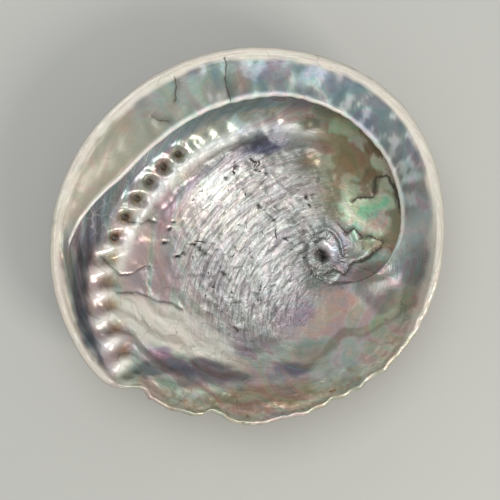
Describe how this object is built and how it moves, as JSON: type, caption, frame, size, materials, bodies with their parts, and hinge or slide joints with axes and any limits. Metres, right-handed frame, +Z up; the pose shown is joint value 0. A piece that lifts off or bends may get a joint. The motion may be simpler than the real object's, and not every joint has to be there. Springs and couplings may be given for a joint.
{
  "type": "abalone shell",
  "caption": "Large abalone shell lying on its back: nacre bowl with a wide flat inner lip winding into the spire, a row of breathing holes and a thin growing edge.",
  "frame": {"origin": "under the middle of the mouth, on the surface that the shell's worn back rests on", "axes": "+Z up out of the mouth; +X across the mouth towards the spire's side; +Y towards the wide flat inner lip"},
  "size_m": [0.1748, 0.1683, 0.0504],
  "materials": {
    "nacre": "gloss",
    "outer_shell": "matte"
  },
  "bodies": {
    "root": {"shell": "nacre"}
  },
  "joints": []
}
